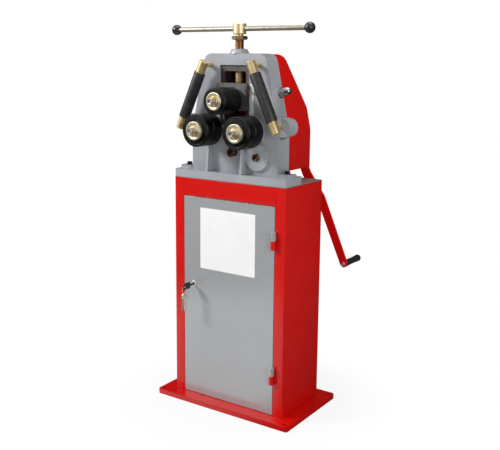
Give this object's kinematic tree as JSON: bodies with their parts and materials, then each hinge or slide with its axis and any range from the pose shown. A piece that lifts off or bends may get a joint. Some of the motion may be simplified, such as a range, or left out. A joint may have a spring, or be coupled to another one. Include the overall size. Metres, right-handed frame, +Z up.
{
  "type": "ring roller",
  "caption": "Hand-cranked ring roller on a sheet-metal cabinet, with gear-driven rolls, a screw-fed upper roll and side guide rollers.",
  "frame": {"origin": "centre of the base plate's underside", "axes": "+Z up, +Y from the door and rolls towards the crank, +X to the right seen from the front"},
  "size_m": [0.566, 0.5571, 1.3189],
  "materials": {
    "red_paint": "glossy powder coat",
    "grey_paint": "semi-gloss paint on casting",
    "panel_primer": "matt, oily",
    "oiled_steel": "blackened and oiled",
    "bright_steel": "turned",
    "slide_steel": "machined and greased",
    "black_screw": "blackened",
    "yellow_zinc": "yellow chromated zinc",
    "copper_brown": "copper-brown wash",
    "bronze": "turned",
    "chrome": "polished",
    "black_plastic": "moulded"
  },
  "bodies": {
    "frame": {"base_plate": "red_paint", "cabinet_side_left": "red_paint", "cabinet_side_right": "red_paint", "cabinet_back": "red_paint", "cabinet_top": "panel_primer", "cabinet_top_rail": "red_paint", "hinge_lower_pin_half": "red_paint", "hinge_upper_pin_half": "red_paint", "head_casting": "grey_paint", "flange_screw_left": "black_screw", "flange_screw_right": "black_screw", "gear_cover": "red_paint", "cap_nut_left": "chrome", "cap_nut_right": "chrome", "spindle_nut": "bronze", "crank_bush": "bronze", "roll_bush_left": "bronze", "roll_bush_right": "bronze", "idler_axle": "copper_brown", "scale_strip": "chrome"},
    "door": {"door_panel": "grey_paint", "hinge_lower_door_half": "grey_paint", "hinge_upper_door_half": "grey_paint", "lock_barrel": "bright_steel"},
    "lock": {"lock_cam": "bright_steel", "key": "black_plastic"},
    "key_ring": {"key_ring": "bright_steel"},
    "slide": {"slide_block": "slide_steel", "slide_keeper": "bright_steel", "scale_pointer": "copper_brown"},
    "spindle": {"spindle_screw": "yellow_zinc", "lock_nut": "yellow_zinc", "spindle_head": "yellow_zinc", "spindle_bar": "bright_steel", "ball_knob_left": "black_plastic", "ball_knob_right": "black_plastic"},
    "upper_roll": {"upper_roll": "oiled_steel", "upper_roll_shaft": "bright_steel", "upper_roll_cap": "yellow_zinc"},
    "lower_roll_left": {"lower_roll_left": "oiled_steel", "lower_roll_shaft_left": "bright_steel", "lower_roll_cap_left": "yellow_zinc", "roll_gear_left": "bright_steel"},
    "lower_roll_right": {"lower_roll_right": "oiled_steel", "lower_roll_shaft_right": "bright_steel", "lower_roll_cap_right": "yellow_zinc", "roll_gear_right": "bright_steel"},
    "idler": {"idler_gear": "bright_steel"},
    "crank": {"crank_shaft": "bright_steel", "crank_screw": "copper_brown", "crank_arm": "red_paint", "grip_bolt": "bright_steel"},
    "crank_grip": {"crank_grip": "black_plastic"},
    "guide_left": {"guide_collar_upper_left": "yellow_zinc", "guide_collar_lower_left": "yellow_zinc"},
    "guide_sleeve_left": {"guide_sleeve_left": "oiled_steel"},
    "guide_right": {"guide_collar_upper_right": "yellow_zinc", "guide_collar_lower_right": "yellow_zinc"},
    "guide_sleeve_right": {"guide_sleeve_right": "oiled_steel"}
  },
  "joints": [
    {"name": "door_swing", "type": "hinge", "parent": "frame", "child": "door", "pos_m": [0.188, -0.1265, 0], "axis": [0, 0, 1], "range_deg": [0, 110]},
    {"name": "lock_turn", "type": "hinge", "parent": "door", "child": "lock", "pos_m": [-0.145, -0.1175, 0.424], "axis": [0, 1, 0], "range_deg": [-90, 0]},
    {"name": "key_ring_swing", "type": "hinge", "parent": "lock", "child": "key_ring", "pos_m": [-0.145, -0.1694, 0.42216], "axis": [0, 1, 0], "range_deg": [-25, 25]},
    {"name": "slide_travel", "type": "slide", "parent": "frame", "child": "slide", "axis": [0, 0, 1], "range_m": [-0.028, 0.042]},
    {"name": "spindle_turn", "type": "hinge", "parent": "slide", "child": "spindle", "pos_m": [0, -0.0545, 1.3011], "axis": [0, 0, 1], "range_deg": [-2880, 4320]},
    {"name": "upper_roll_spin", "type": "hinge", "parent": "slide", "child": "upper_roll", "pos_m": [0, -0.1845, 1.0688], "axis": [0, 1, 0], "continuous": true},
    {"name": "crank_turn", "type": "hinge", "parent": "frame", "child": "crank", "pos_m": [0.096, 0.1735, 0.88557], "axis": [0, 1, 0], "continuous": true},
    {"name": "lower_roll_right_spin", "type": "hinge", "parent": "frame", "child": "lower_roll_right", "pos_m": [0.0813, -0.1845, 0.9703], "axis": [0, 1, 0], "continuous": true},
    {"name": "lower_roll_left_spin", "type": "hinge", "parent": "frame", "child": "lower_roll_left", "pos_m": [-0.0813, -0.1845, 0.9703], "axis": [0, 1, 0], "continuous": true},
    {"name": "idler_spin", "type": "hinge", "parent": "frame", "child": "idler", "pos_m": [0, -0.0079, 0.8962], "axis": [0, 1, 0], "continuous": true},
    {"name": "grip_spin", "type": "hinge", "parent": "crank", "child": "crank_grip", "pos_m": [0.2694, 0.2115, 0.48771], "axis": [0, 1, 0], "continuous": true},
    {"name": "guide_left_depth", "type": "slide", "parent": "frame", "child": "guide_left", "axis": [0, 1, 0], "range_m": [-0.03, 0.01]},
    {"name": "guide_left_spin", "type": "hinge", "parent": "guide_left", "child": "guide_sleeve_left", "pos_m": [-0.1855, -0.1265, 0.9893], "axis": [0.4131, 0, 0.9107], "continuous": true},
    {"name": "guide_right_depth", "type": "slide", "parent": "frame", "child": "guide_right", "axis": [0, 1, 0], "range_m": [-0.03, 0.01]},
    {"name": "guide_right_spin", "type": "hinge", "parent": "guide_right", "child": "guide_sleeve_right", "pos_m": [0.1855, -0.1265, 0.9893], "axis": [-0.4131, 0, 0.9107], "continuous": true}
  ],
  "couplings": [
    {"joint": "slide_travel", "follows": "spindle_turn", "m_per_rad": 0.00055704},
    {"joint": "lower_roll_right_spin", "follows": "crank_turn", "ratio": -0.48276},
    {"joint": "lower_roll_left_spin", "follows": "crank_turn", "ratio": -0.48276},
    {"joint": "idler_spin", "follows": "crank_turn", "ratio": 0.53846}
  ]
}
